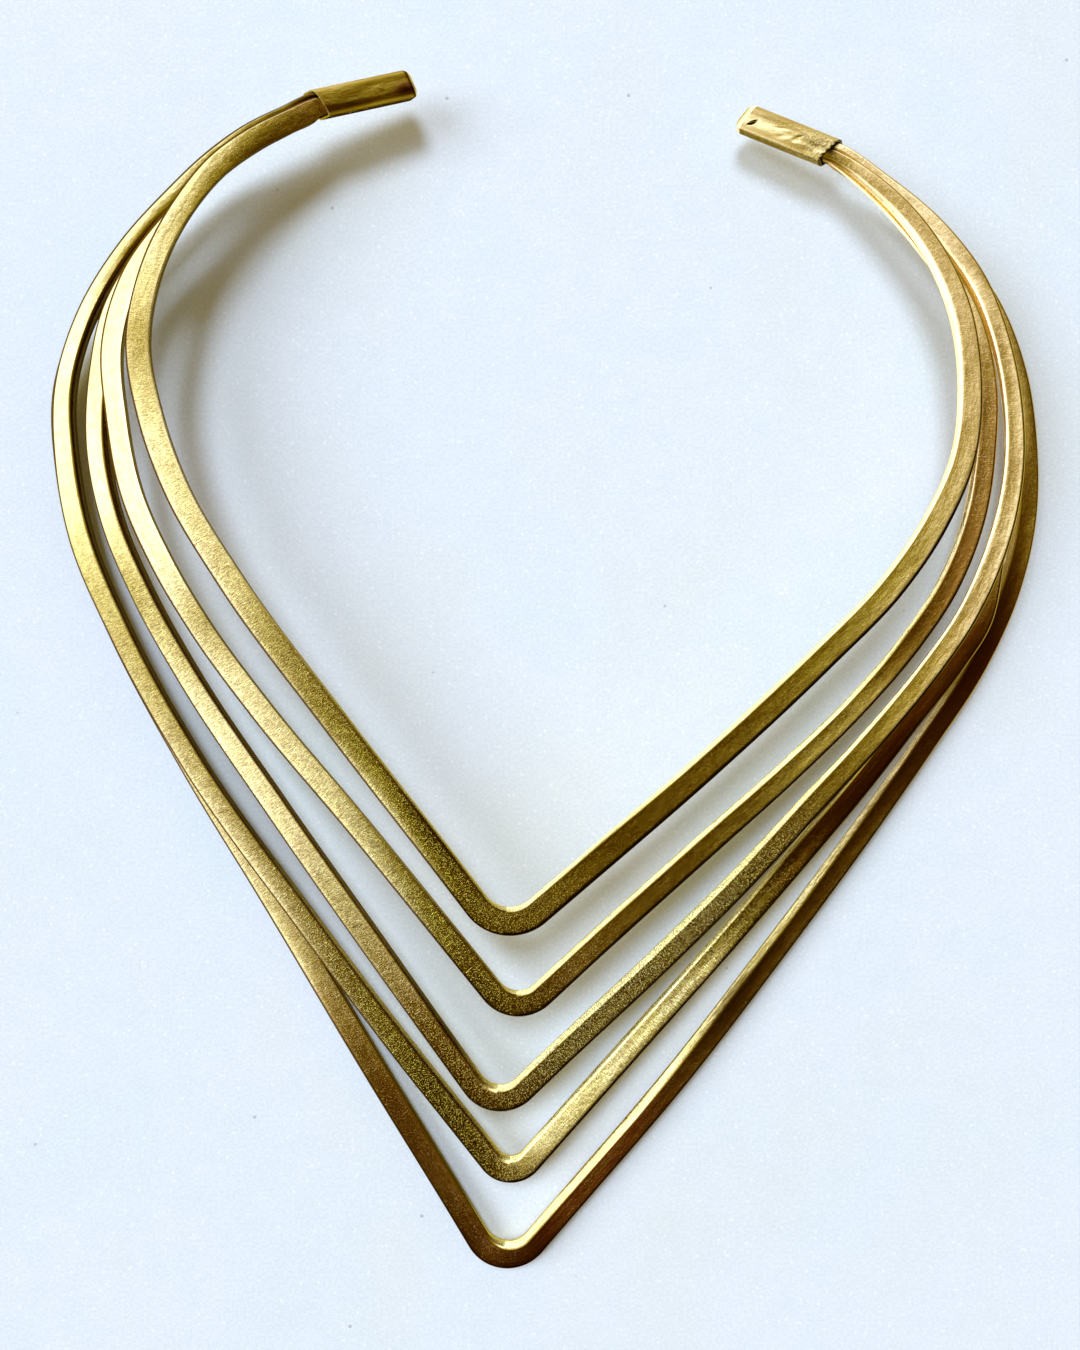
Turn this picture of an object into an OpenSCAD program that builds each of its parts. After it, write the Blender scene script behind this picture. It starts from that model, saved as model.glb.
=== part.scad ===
// Open collar choker of five square brass wires, bent to a point in front and
// gathered at the back in two closed tube caps. It lies face up: Z up, the
// points of the bends toward -Y, the opening at the back toward +Y.

/* [Wires] */
// Side of the inner wire, which lies on top
inner_side = 3.6; // [3.2:0.1:3.7]
// Side of the four wires below it
wire_side = 3.1; // [2.8:0.1:3.2]
// Rounding of the wires' long edges
edge_r = 0.45; // [0.35:0.05:0.6]
// Clear space between wires that lie on each other
gap = 0.1; // [0.08:0.01:0.15]

/* [Bends] */
// Radius of the inner wire's front bend, on its middle line
inner_bend = 6.2; // [5:0.1:8]
// Radius of the second wire's front bend
second_bend = 5.2; // [4:0.1:7]
// Radius of the third wire's front bend
third_bend = 5.1; // [4:0.1:7]
// Radius of the fourth wire's front bend
fourth_bend = 4.0; // [3.4:0.1:6]
// Radius of the outer wire's front bend
outer_bend = 5.5; // [4:0.1:7]

/* [Caps] */
// Width of the left cap
left_cap_wide = 4.0; // [4.0:0.1:4.8]
// Height of the left cap
left_cap_tall = 5.8; // [5.8:0.1:6.4]
// Width of the right cap
right_cap_wide = 3.9; // [3.8:0.1:4.4]
// Height of the right cap
right_cap_tall = 4.5; // [4.4:0.1:5.2]
// Thickness of the cap's wall
cap_wall = 0.3; // [0.2:0.05:0.3]
// Length of wire held inside each cap
seat = 9; // [6:0.5:10]

/* [Hidden] */

// Moves the middle of the whole choker's box to the origin
place = [-0.75, 0.27, 0.03];

// Columns of the wires' tables. The heights are of the middle of the wire, the
// width and thickness are shares of the wire's side, and the roll tips the
// upper face toward the neck, in degrees.
X = 0;
Y = 1;
Z = 2;
WIDE = 3;
THICK = 4;
ROLL = 5;

// Columns: mouth, closed end, width, height, inward tip of the top in degrees,
// then how far the mouth runs back for each millimetre outward and upward, and
// the closed end for each millimetre outward
left_fit = [[-33.9, 86.3, 9.2], [-19.7, 90.66, 6.9], left_cap_wide, left_cap_tall, 25, -0.4, 0.25, -0.2];
right_fit = [[44.75, 80.2, 6.7], [31.4, 86.45, 5.2], right_cap_wide, right_cap_tall, 14, -0.48, 0.14, -0.3];
// Rounding of the caps' long edges
cap_r = 1.2;
// Rounding at the closed end
end_r = 1.1;
// Least rounding of a cap's inside edges
least_r = 0.3;
// Metal at the closed end, and how far the bore narrows and runs on there
end_wall = 1.4;
bore_step = 0.6;
// Most that the edges of a flattened wire are rounded, as a share of its sides
round_share = 0.3;

// Front corners, where the straight arms would meet
inner_corner = [-5.4, -39.2, 13.0];
second_corner = [-3.8, -52.0, 9.6];
third_corner = [-6.8, -67.6, 6.8];
fourth_corner = [-4.7, -79.2, 4.4];
outer_corner = [-5.9, -95.5];

// Height of the middle of a wire that lies on the ground
function lying(x, y, wide, thick, roll) =
    [x, y, wire_side * (thick * cos(roll) + wide * abs(sin(roll))) / 2, wide, thick, roll];

// Turns shares of the wire's side into millimetres
function sized(rows, side) =
    [for (r = rows) [r[X], r[Y], r[Z], r[WIDE] * side, r[THICK] * side, r[ROLL]]];

// Inner wire. Rows: x, y, z, wide, thick, roll, from the front to the cap
inner_left = concat(sized([
    [-14.7, -27.0, 13.2, 1.01, 1.00, 2],
    [-30.4, -6.6, 13.6, 1.01, 1.00, 3],
    [-45.6, 14.1, 14.0, 1.00, 1.00, 4],
    [-53.2, 27.0, 14.3, 0.98, 1.00, 6],
    [-57.0, 37.6, 14.5, 0.97, 1.00, 8],
    [-58.8, 48.3, 14.7, 0.88, 0.97, 9],
    [-57.0, 59.2, 14.4, 0.80, 0.93, 12],
    [-52.3, 69.3, 13.7, 0.79, 0.86, 16],
    [-47.8, 75.3, 13.0, 0.85, 0.75, 18],
    [-42.1, 80.1, 12.0, 0.88, 0.60, 22],
    [-37.7, 82.8, 11.2, 0.89, 0.46, 24]], inner_side), [
    seated(left_fit, [-0.5, 1.72, 2.8, 1.3], -0.7)]);
inner_right = sized([
    [5.9, -29.6, 12.8, 1.05, 1.00, 0],
    [25.6, -12.7, 12.3, 1.00, 1.00, -1],
    [42.0, 2.5, 11.8, 0.99, 1.00, 0],
    [52.5, 13.2, 11.4, 1.00, 0.98, 2],
    [58.9, 22.4, 11.1, 0.98, 0.95, 4],
    [63.4, 32.7, 10.9, 0.90, 0.92, 6],
    [64.5, 43.9, 10.7, 0.86, 0.87, 8],
    [63.0, 55.0, 10.4, 0.82, 0.80, 8],
    [58.4, 65.3, 9.9, 0.72, 0.70, 8],
    [51.4, 73.9, 9.0, 0.62, 0.50, 11]], inner_side);

// Second wire, in the same columns
second_left = concat(sized([
    [-13.3, -40.2, 9.7, 1.08, 1.00, 4],
    [-27.5, -22.6, 10.0, 1.07, 1.00, 4],
    [-41.9, -5.2, 10.5, 1.06, 1.00, 4],
    [-50.8, 7.0, 10.8, 1.04, 1.00, 5],
    [-56.6, 16.8, 10.9, 1.04, 1.00, 6],
    [-61.1, 27.2, 11.0, 1.00, 1.00, 7],
    [-63.3, 38.3, 11.0, 0.94, 1.00, 8],
    [-64.0, 49.4, 11.0, 0.94, 0.90, 8],
    [-61.3, 59.3, 11.0, 0.90, 0.70, 10]], wire_side), [
    under(inner_left, 7, 0.5, 0.05, 2.8, 1.6),
    under(inner_left, 8, 0.2, 0, 2.7, 1.4),
    under(inner_left, 9, -0.1, 0, 2.6, 1.1),
    under(inner_left, 10, -0.15, 0, 2.6, 0.9),
    under(inner_left, 11, 0, 0, 2.8, 0.85)]);
second_right = concat(sized([
    [6.6, -42.4, 9.4, 1.07, 1.00, -2],
    [26.3, -24.8, 8.9, 1.05, 1.00, -2],
    [37.7, -14.7, 8.5, 1.01, 1.00, -2],
    [48.7, -4.1, 8.0, 0.96, 1.00, 0],
    [56.2, 4.5, 7.7, 0.97, 1.00, 2],
    [62.5, 13.8, 7.4, 0.96, 1.00, 4],
    [66.6, 24.3, 7.2, 0.94, 1.00, 6],
    [68.3, 35.2, 7.0, 0.92, 0.97, 8],
    [68.6, 43.5, 7.0, 0.86, 0.85, 8]], wire_side), [
    under(inner_right, 7, 2.2, 0.6, 2.5, 1.9),
    under(inner_right, 8, 0.1, 0.1, 2.5, 1.3),
    under(inner_right, 9, -0.4, 0.05, 2.1, 1.0),
    seated(right_fit, [-0.7, -0.05, 1.8, 0.8], -1.2)]);

// Third wire
third_left = concat(sized([
    [-13.2, -58.7, 6.9, 1.05, 1.00, 0],
    [-27.4, -38.7, 7.1, 1.10, 1.00, 0],
    [-40.6, -19.8, 7.3, 1.05, 1.00, 0],
    [-53.3, -0.7, 7.6, 1.00, 1.00, -2],
    [-60.7, 12.7, 7.8, 0.98, 1.00, -3],
    [-65.1, 23.3, 7.9, 0.94, 1.00, -3],
    [-67.3, 34.5, 8.0, 0.94, 1.00, -2],
    [-66.9, 45.7, 8.1, 0.94, 0.95, 0],
    [-65.1, 54.9, 8.2, 0.94, 0.80, 4],
    [-60.0, 63.7, 9.1, 0.88, 0.55, 12]], wire_side), [
    under(second_left, 9, 0.5, 0, 2.7, 1.3),
    under(second_left, 10, 0.1, 0, 2.6, 1.2),
    under(second_left, 11, 0, 0, 2.6, 1.0),
    under(second_left, 12, 0, 0, 2.6, 0.9),
    under(second_left, 13, 0, 0, 2.8, 0.85)]);
third_right = sized([
    [0.9, -60.2, 6.8, 1.07, 1.00, -3],
    [19.9, -42.2, 7.2, 1.05, 1.00, -4],
    [30.7, -31.4, 7.5, 1.02, 1.00, -3],
    [41.1, -20.1, 7.8, 1.02, 1.00, 0],
    [51.4, -8.9, 7.9, 0.99, 1.00, 4],
    [58.6, -0.3, 7.9, 0.99, 1.00, 8],
    [65.0, 8.8, 7.9, 0.96, 1.00, 12],
    [69.6, 19.0, 7.9, 0.98, 1.00, 15],
    [72.2, 30.0, 7.9, 0.91, 1.00, 17],
    [72.2, 41.3, 7.9, 0.82, 0.97, 17],
    [69.9, 52.5, 7.9, 0.76, 0.92, 16],
    [67.1, 59.4, 7.9, 0.78, 0.85, 14],
    [61.2, 67.5, 7.9, 0.78, 0.66, 12],
    [52.8, 75.4, 7.9, 0.48, 0.50, 12]], wire_side);

// Fourth wire
fourth_left = sized([
    [-12.2, -69.7, 4.5, 1.09, 1.00, 3],
    [-21.8, -57.5, 4.7, 1.08, 1.00, 3],
    [-35.8, -38.8, 4.9, 1.04, 1.00, 3],
    [-53.8, -13.6, 5.0, 1.03, 1.00, 3],
    [-65.1, 6.8, 5.0, 1.02, 1.00, 3],
    [-71.1, 21.2, 5.0, 1.06, 1.00, 3],
    [-73.3, 32.6, 5.0, 1.00, 1.00, 3],
    [-73.5, 44.2, 5.3, 0.88, 1.00, 5],
    [-69.8, 55.1, 6.5, 0.80, 0.95, 8],
    [-63.6, 64.8, 7.5, 0.72, 0.90, 12],
    [-55.9, 73.2, 7.9, 0.72, 0.87, 16],
    [-50.1, 78.6, 8.6, 0.55, 0.87, 19],
    [-43.6, 82.7, 10.0, 0.34, 0.80, 23],
    [-39.05, 85.03, 10.1, 0.24, 0.75, 24]], wire_side);
fourth_right = concat(sized([
    [-1.0, -75.0, 4.4, 1.08, 1.00, 4],
    [14.5, -57.5, 4.5, 1.05, 1.00, 3],
    [30.0, -40.0, 4.7, 1.02, 1.00, 2],
    [40.2, -28.1, 4.8, 1.02, 1.00, 1],
    [50.2, -16.1, 4.8, 1.02, 1.00, 0],
    [57.2, -7.1, 4.8, 1.00, 1.00, 0],
    [64.2, 1.7, 4.8, 0.98, 1.00, 2],
    [68.2, 7.8, 4.8, 0.97, 1.00, 6]], wire_side), [
    under(third_right, 7, 0.3, 0.1, 3.0, 3.0),
    under(third_right, 8, 0.3, 0.1, 2.8, 3.0),
    under(third_right, 9, 0.2, 0.1, 2.5, 2.8),
    under(third_right, 10, 0.1, 0.05, 2.3, 2.1),
    under(third_right, 11, 0, 0, 2.3, 1.6),
    under(third_right, 12, 0, 0, 2.2, 1.2),
    under(third_right, 13, 0, 0, 1.5, 1.0)]);

// Outer wire, which lies on the ground in front and at the sides
outer_left = concat(sized([
    lying(-12.4, -84.7, 1.12, 1.00, 8),
    lying(-26.4, -61.8, 1.15, 1.00, 10),
    lying(-42.7, -34.6, 1.08, 1.00, 8),
    lying(-54.9, -14.6, 1.04, 1.00, 3)], wire_side), [
    under(fourth_left, 4, 1.0, 0.05, 3.1, 3.1),
    under(fourth_left, 5, 1.1, 0.05, 3.0, 3.1),
    under(fourth_left, 6, 1.4, 0.1, 2.8, 3.1),
    under(fourth_left, 7, 1.4, 0.1, 2.7, 2.8),
    under(fourth_left, 8, 0.8, 0.1, 2.6, 2.2),
    under(fourth_left, 9, 0.2, 0.05, 2.4, 1.6),
    under(fourth_left, 10, -0.3, 0.05, 2.3, 1.3),
    under(fourth_left, 11, -0.6, 0.05, 2.3, 1.15),
    under(fourth_left, 12, -1.1, 0.1, 2.6, 1.0)]);
outer_right = concat(sized([
    lying(2.9, -85.3, 1.00, 1.00, -8),
    lying(22.5, -62.3, 1.00, 1.00, -12),
    lying(37.0, -43.5, 0.97, 1.00, -10),
    lying(51.2, -24.4, 0.95, 1.00, -5),
    lying(60.4, -11.5, 0.93, 1.00, 0),
    lying(69.1, 1.9, 0.95, 1.00, 0),
    lying(74.0, 12.9, 0.95, 1.00, 0),
    lying(76.7, 24.5, 0.93, 1.00, 0),
    [76.7, 36.2, 1.9, 0.93, 1.00, 0],
    [74.8, 47.5, 2.6, 0.90, 0.95, 3],
    [70.5, 57.7, 3.6, 0.88, 0.75, 6],
    [62.8, 67.4, 4.6, 0.80, 0.45, 12]], wire_side), [
    under(fourth_right, 14, -0.5, 0, 2.3, 0.9),
    seated(right_fit, [-0.3, -0.98, 2.6, 0.8], -1.2)]);

// Level direction away from the neck at row i of a table
function outward(rows, i) =
    let (along = rows[min(i + 1, len(rows) - 1)] - rows[i - 1],
         level = norm([along[X], along[Y]]),
         turn = rows[i][X] < 0 ? 1 : -1)
    [-turn * along[Y], turn * along[X], 0] / level;

// Row that follows row i of a guide wire: it lies under the guide with the gap
// and a further drop, moved outward in the guide's section. Width and thickness
// are in millimetres.
function under(rows, i, out, drop, wide, thick) =
    let (r = rows[i],
         down = r[THICK] / 2 + gap + drop + thick / 2,
         side = outward(rows, i),
         u = side * cos(r[ROLL]) + [0, 0, sin(r[ROLL])],
         v = [0, 0, cos(r[ROLL])] - side * sin(r[ROLL]),
         p = [r[X], r[Y], r[Z]] + u * out - v * down)
    [p.x, p.y, p.z, wide, thick, r[ROLL]];

// Unit vector from a to b
function toward(a, b) = (b - a) / norm(b - a);

// First three columns of a row
function spot(r) = [r[X], r[Y], r[Z]];

// Slope of the curve through the rows at row i, by length along the wire
function slope(rows, i, first, last) =
    let (n = len(rows) - 1)
    i == 0 ? [first.x, first.y, first.z, 0, 0, 0]
    : i == n ? [last.x, last.y, last.z, 0, 0, 0]
    : let (a = norm(spot(rows[i]) - spot(rows[i - 1])),
           b = norm(spot(rows[i + 1]) - spot(rows[i])))
      ((rows[i] - rows[i - 1]) * b / a + (rows[i + 1] - rows[i]) * a / b) / (a + b);

// Smooth curve through the rows, leaving along first and arriving along last
function curve(rows, first, last, steps) =
    concat([for (i = [0 : len(rows) - 2])
        let (size = norm(spot(rows[i + 1]) - spot(rows[i])),
             a = slope(rows, i, first, last) * size,
             b = slope(rows, i + 1, first, last) * size)
        for (j = [0 : steps - 1])
            let (t = j / steps)
            rows[i] * (2 * t ^ 3 - 3 * t ^ 2 + 1) + a * (t ^ 3 - 2 * t ^ 2 + t)
            + rows[i + 1] * (3 * t ^ 2 - 2 * t ^ 3) + b * (t ^ 3 - t ^ 2)],
        [rows[len(rows) - 1]]);

// Section directions of a cap: along it, outward and up
function cap_frame(cap) =
    let (along = toward(cap[0], cap[1]),
         turn = cap[0].x < 0 ? 1 : -1,
         side = [-turn * along.y, turn * along.x, 0] / norm([along.x, along.y]),
         up = cross(along, side) * turn,
         roll = cap[4])
    [along, side * cos(roll) + up * sin(roll), up * cos(roll) - side * sin(roll)];

// Row of a wire inside a cap, at a depth from the mouth
function seated(cap, s, depth) =
    let (f = cap_frame(cap),
         p = cap[0] + f[1] * s[0] + f[2] * s[1] + f[0] * depth)
    [p.x, p.y, p.z, s[2], s[3], cap[4]];

// Middle line of a wire: cap, left side, front bend, right side, cap
function route(left, corner, bend, right, left_seat, right_seat) =
    let (l_dir = toward(corner, spot(left[0])),
         r_dir = toward(corner, spot(right[0])),
         half = acos(l_dir * r_dir) / 2,
         run = bend / tan(half),
         hub = corner + (l_dir + r_dir) / norm(l_dir + r_dir) * bend / sin(half),
         from = corner + l_dir * run - hub,
         to = corner + r_dir * run - hub,
         sweep = 180 - 2 * half,
         bend_rows = [for (j = [0 : bend_steps])
             let (t = j / bend_steps,
                  p = hub + (from * sin((1 - t) * sweep) + to * sin(t * sweep)) / sin(sweep),
                  mix = left[0] * (1 - t) + right[0] * t)
             [p.x, p.y, p.z, mix[WIDE], mix[THICK], mix[ROLL]]],
         l_in = seated(left_fit, left_seat, seat),
         l_rim = seated(left_fit, left_seat, 0),
         r_in = seated(right_fit, right_seat, seat),
         r_rim = seated(right_fit, right_seat, 0),
         l_rows = concat([l_rim], [for (i = [len(left) - 1 : -1 : 0]) left[i]], [bend_rows[0]]),
         r_rows = concat([bend_rows[bend_steps]], right, [r_rim]))
    concat([l_in],
           curve(l_rows, toward(left_fit[1], left_fit[0]), -l_dir, side_steps),
           [for (j = [1 : bend_steps - 1]) bend_rows[j]],
           curve(r_rows, r_dir, toward(right_fit[0], right_fit[1]), side_steps),
           [r_in]);

// Steps between two rows of a side, and around a front bend
side_steps = 3;
bend_steps = 8;

// Seats in the left and right cap. Columns: outward, up, wide, thick
inner_seats = [[-0.27, 1.65, 2.5, 1.25], [-0.5, 1.0, 1.65, 1.1]];
second_seats = [[-0.27, 0.5, 2.5, 0.85], [-0.5, -0.05, 1.65, 0.8]];
third_seats = [[-0.27, -0.45, 2.5, 0.85], [0.99, 1.0, 0.95, 1.1]];
fourth_seats = [[1.35, 0.85, 0.5, 2.0], [0.97, -0.05, 0.9, 0.8]];
outer_seats = [[0, -1.45, 2.9, 0.85], [0, -0.95, 2.6, 0.8]];

// Corner points of a rounded rectangle, from its lower inner side round
function section(wide, thick, r) =
    [for (corner = [[1, 1, 0], [-1, 1, 90], [-1, -1, 180], [1, -1, 270]])
        for (turn = [0, 45, 90])
            [corner.x * (wide / 2 - r) + r * cos(corner.z + turn),
             corner.y * (thick / 2 - r) + r * sin(corner.z + turn)]];

// Ring of points round row i of a route
function ring(rows, i) =
    let (n = len(rows) - 1,
         r = rows[i],
         along = toward(spot(rows[max(i - 1, 0)]), spot(rows[min(i + 1, n)])),
         side = [along.y, -along.x, 0] / norm([along.x, along.y]),
         up = cross(side, along),
         u = side * cos(r[ROLL]) + up * sin(r[ROLL]),
         v = up * cos(r[ROLL]) - side * sin(r[ROLL]),
         round_r = min(edge_r, round_share * r[WIDE], round_share * r[THICK]))
    [for (q = section(r[WIDE], r[THICK], round_r)) spot(r) + u * q.x + v * q.y];

// List in the opposite order
function reverse(list) = [for (i = [len(list) - 1 : -1 : 0]) list[i]];

// Closed skin over rings of equal count, with flat ends
module skin(rings) {
    n = len(rings[0]);
    last = len(rings) - 1;
    points = [for (r = rings) each r];
    walls = [for (i = [0 : last - 1], j = [0 : n - 1])
        let (a = i * n + j, b = i * n + (j + 1) % n)
        each [[a, b, b + n], [a, b + n, a + n]]];
    ends = [[for (j = [n - 1 : -1 : 0]) j], [for (j = [0 : n - 1]) last * n + j]];
    polyhedron(points, concat(walls, ends), convexity = 10);
}

// Wire swept along its route
module wire(rows) {
    translate(place)
        skin([for (i = [0 : len(rows) - 1]) ring(rows, i)]);
}

module inner_wire() {
    color("#c9a94e")
        wire(route(inner_left, inner_corner, inner_bend, inner_right, inner_seats[0], inner_seats[1]));
}

module second_wire() {
    color("#b8933c")
        wire(route(second_left, second_corner, second_bend, second_right, second_seats[0], second_seats[1]));
}

module third_wire() {
    color("#c2a04a")
        wire(route(third_left, third_corner, third_bend, third_right, third_seats[0], third_seats[1]));
}

module fourth_wire() {
    color("#b08a38")
        wire(route(fourth_left, fourth_corner, fourth_bend, fourth_right, fourth_seats[0], fourth_seats[1]));
}

module outer_wire() {
    ground_corner = [outer_corner.x, outer_corner.y, outer_left[0][Z]];
    color("#9c7028")
        wire(route(outer_left, ground_corner, outer_bend, outer_right, outer_seats[0], outer_seats[1]));
}

// Ring of a cap at a depth from its mouth, drawn in by inset. The slant goes
// from the mouth's to the closed end's along the cap.
function cap_ring(cap, depth, inset) =
    let (f = cap_frame(cap),
         share = depth / norm(cap[1] - cap[0]),
         across = cap[5] * (1 - share) + cap[7] * share,
         upward = cap[6] * (1 - share),
         r = max(cap_r - inset, least_r))
    [for (q = cap_section(cap[2] - 2 * inset, cap[3] - 2 * inset, r))
        cap[0] + f[1] * q.x + f[2] * q.y + f[0] * (depth + across * q.x + upward * q.y)];

// Rounded rectangle with five points to a corner
function cap_section(wide, tall, r) =
    [for (corner = [[1, 1, 0], [-1, 1, 90], [-1, -1, 180], [1, -1, 270]])
        for (turn = [0 : 22.5 : 90])
            [corner.x * (wide / 2 - r) + r * cos(corner.z + turn),
             corner.y * (tall / 2 - r) + r * sin(corner.z + turn)]];

// Closed cap: bore from its end to the rim, then the outside back to the end
module cap(fit) {
    length = norm(fit[1] - fit[0]);
    bore = length - end_wall;
    outside = [for (turn = [0 : 22.5 : 90]) [length - end_r + end_r * sin(turn), end_r * (1 - cos(turn))]];
    inside = [[bore, cap_wall + bore_step], [bore - bore_step, cap_wall], [0, cap_wall]];
    profile = concat(inside, [[0, 0]], outside);
    rings = [for (p = profile) cap_ring(fit, p[0], p[1])];
    translate(place)
        skin(fit[0].x < 0 ? [for (r = rings) reverse(r)] : rings);
}

module left_cap() {
    color("#a8843a")
        cap(left_fit);
}

module right_cap() {
    color("#d0b050")
        cap(right_fit);
}

inner_wire();
second_wire();
third_wire();
fourth_wire();
outer_wire();
left_cap();
right_cap();
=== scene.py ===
import math

import bpy
import numpy as np
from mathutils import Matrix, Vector


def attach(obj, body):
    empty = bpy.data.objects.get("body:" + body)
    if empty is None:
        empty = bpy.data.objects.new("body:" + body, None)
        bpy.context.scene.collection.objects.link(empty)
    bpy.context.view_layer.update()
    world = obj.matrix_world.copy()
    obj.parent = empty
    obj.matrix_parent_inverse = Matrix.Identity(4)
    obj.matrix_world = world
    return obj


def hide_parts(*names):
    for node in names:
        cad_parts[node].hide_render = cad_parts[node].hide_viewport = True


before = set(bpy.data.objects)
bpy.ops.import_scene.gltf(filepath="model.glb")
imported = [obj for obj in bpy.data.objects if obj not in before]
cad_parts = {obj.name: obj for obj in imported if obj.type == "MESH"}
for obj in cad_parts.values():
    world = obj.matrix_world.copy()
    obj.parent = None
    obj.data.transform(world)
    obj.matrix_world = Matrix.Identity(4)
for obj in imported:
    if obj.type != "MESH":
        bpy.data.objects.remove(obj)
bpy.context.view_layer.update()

MM = 0.001

# Driving sizes in millimetres, as in the solids
INNER_SIDE = 3.6
WIRE_SIDE = 3.1
EDGE_R = 0.45
GAP = 0.1
PLACE = np.array([-0.75, 0.27, 0.03])
BENDS = {"inner_wire": 6.2, "second_wire": 5.2, "third_wire": 5.1, "fourth_wire": 4.0, "outer_wire": 5.5}
CAP_WALL = 0.3
CAP_R = 1.2
END_R = 1.1
SEAT = 9
ROUND_SHARE = 0.3

# Caps. Columns: mouth, closed end, width, height, roll, then the slants of the
# mouth for each millimetre outward and upward, and of the closed end outward
LEFT_CAP = ((-33.9, 86.3, 9.2), (-19.7, 90.66, 6.9), 4.0, 5.8, 25, -0.4, 0.25, -0.2)
RIGHT_CAP = ((44.75, 80.2, 6.7), (31.4, 86.45, 5.2), 3.9, 4.5, 14, -0.48, 0.14, -0.3)

X, Y, Z, WIDE, THICK, ROLL = range(6)
MOUTH, END, CAP_WIDE, CAP_TALL, CAP_ROLL, OUT_SLANT, UP_SLANT, END_SLANT = range(8)


def unit(v):
    return v / np.linalg.norm(v)


def rising(x, low, high):
    """0 below low, 1 above high, and straight between."""
    return np.clip((x - low) / (high - low), 0, 1)


def lying(x, y, wide, thick, roll):
    """Row of a wire that lies on the ground."""
    a = math.radians(roll)
    z = WIRE_SIDE * (thick * math.cos(a) + wide * abs(math.sin(a))) / 2
    return [x, y, z, wide, thick, roll]


def sized(rows, side):
    """Rows whose widths and thicknesses are shares of the side of the wire."""
    return [[r[X], r[Y], r[Z], r[WIDE] * side, r[THICK] * side, r[ROLL]] for r in rows]


def cap_frame(cap):
    """Directions along the cap, outward and up."""
    along = unit(np.array(cap[END]) - np.array(cap[MOUTH]))
    turn = 1 if cap[MOUTH][X] < 0 else -1
    side = unit(np.array([-turn * along[1], turn * along[0], 0]))
    up = np.cross(along, side) * turn
    a = math.radians(cap[CAP_ROLL])
    return along, side * math.cos(a) + up * math.sin(a), up * math.cos(a) - side * math.sin(a)


def seated(cap, seat, depth):
    """Row of a wire at its seat in a cap. seat is outward, up, wide, thick."""
    along, u, v = cap_frame(cap)
    out, up, wide, thick = seat
    p = np.array(cap[MOUTH]) + u * out + v * up + along * depth
    return [*p, wide, thick, cap[CAP_ROLL]]


def under(rows, i, out, drop, wide, thick):
    """Row of a wire that lies under row i of another, moved outward and down."""
    r = rows[i]
    ahead = rows[min(i + 1, len(rows) - 1)]
    along = np.array(ahead[:2]) - np.array(rows[i - 1][:2])
    turn = 1 if r[X] < 0 else -1
    side = unit(np.array([-turn * along[1], turn * along[0], 0]))
    a = math.radians(r[ROLL])
    up = np.array([0, 0, 1.0])
    u = side * math.cos(a) + up * math.sin(a)
    v = up * math.cos(a) - side * math.sin(a)
    p = np.array(r[:3]) + u * out - v * (r[THICK] / 2 + GAP + drop + thick / 2)
    return [*p, wide, thick, r[ROLL]]


# Wires' tables. Columns: x, y, z, wide, thick, roll, from the front to the cap
inner_left = sized([
    (-14.7, -27.0, 13.2, 1.01, 1.00, 2),
    (-30.4, -6.6, 13.6, 1.01, 1.00, 3),
    (-45.6, 14.1, 14.0, 1.00, 1.00, 4),
    (-53.2, 27.0, 14.3, 0.98, 1.00, 6),
    (-57.0, 37.6, 14.5, 0.97, 1.00, 8),
    (-58.8, 48.3, 14.7, 0.88, 0.97, 9),
    (-57.0, 59.2, 14.4, 0.80, 0.93, 12),
    (-52.3, 69.3, 13.7, 0.79, 0.86, 16),
    (-47.8, 75.3, 13.0, 0.85, 0.75, 18),
    (-42.1, 80.1, 12.0, 0.88, 0.60, 22),
    (-37.7, 82.8, 11.2, 0.89, 0.46, 24)], INNER_SIDE)
inner_left.append(seated(LEFT_CAP, (-0.5, 1.72, 2.8, 1.3), -0.7))
inner_right = sized([
    (5.9, -29.6, 12.8, 1.05, 1.00, 0),
    (25.6, -12.7, 12.3, 1.00, 1.00, -1),
    (42.0, 2.5, 11.8, 0.99, 1.00, 0),
    (52.5, 13.2, 11.4, 1.00, 0.98, 2),
    (58.9, 22.4, 11.1, 0.98, 0.95, 4),
    (63.4, 32.7, 10.9, 0.90, 0.92, 6),
    (64.5, 43.9, 10.7, 0.86, 0.87, 8),
    (63.0, 55.0, 10.4, 0.82, 0.80, 8),
    (58.4, 65.3, 9.9, 0.72, 0.70, 8),
    (51.4, 73.9, 9.0, 0.62, 0.50, 11)], INNER_SIDE)

second_left = sized([
    (-13.3, -40.2, 9.7, 1.08, 1.00, 4),
    (-27.5, -22.6, 10.0, 1.07, 1.00, 4),
    (-41.9, -5.2, 10.5, 1.06, 1.00, 4),
    (-50.8, 7.0, 10.8, 1.04, 1.00, 5),
    (-56.6, 16.8, 10.9, 1.04, 1.00, 6),
    (-61.1, 27.2, 11.0, 1.00, 1.00, 7),
    (-63.3, 38.3, 11.0, 0.94, 1.00, 8),
    (-64.0, 49.4, 11.0, 0.94, 0.90, 8),
    (-61.3, 59.3, 11.0, 0.90, 0.70, 10)], WIRE_SIDE)
second_left += [
    under(inner_left, 7, 0.5, 0.05, 2.8, 1.6),
    under(inner_left, 8, 0.2, 0, 2.7, 1.4),
    under(inner_left, 9, -0.1, 0, 2.6, 1.1),
    under(inner_left, 10, -0.15, 0, 2.6, 0.9),
    under(inner_left, 11, 0, 0, 2.8, 0.85)]
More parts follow.
